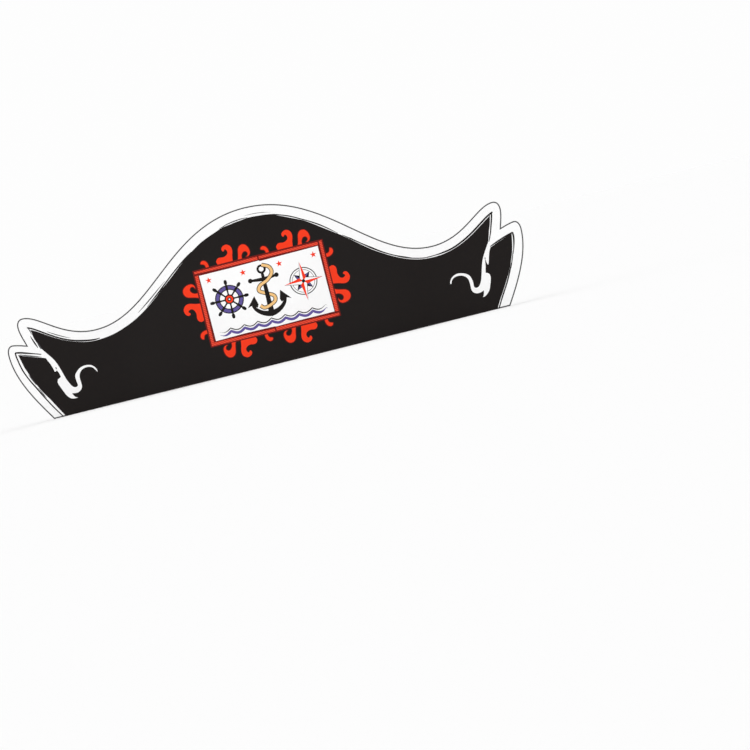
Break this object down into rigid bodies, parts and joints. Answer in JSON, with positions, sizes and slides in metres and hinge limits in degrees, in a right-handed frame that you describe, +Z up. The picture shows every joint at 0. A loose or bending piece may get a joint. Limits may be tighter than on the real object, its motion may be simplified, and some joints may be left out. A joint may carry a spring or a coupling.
{
  "type": "paper pirate hat",
  "caption": "Die-cut card pirate hat: front and back panels of one outline, glued at the ends and bowed open for the head.",
  "frame": {"origin": "under the middle of the hat, in the plane of the straight bottom edges that it stands on", "axes": "+X along the hat to the right of a viewer at the front, -Y the front, +Z up"},
  "size_m": [0.457, 0.0798, 0.138],
  "materials": {
    "printed_card": "black ink on white card, satin"
  },
  "bodies": {
    "root": {"front_panel": "printed_card", "back_panel": "printed_card"}
  },
  "joints": []
}
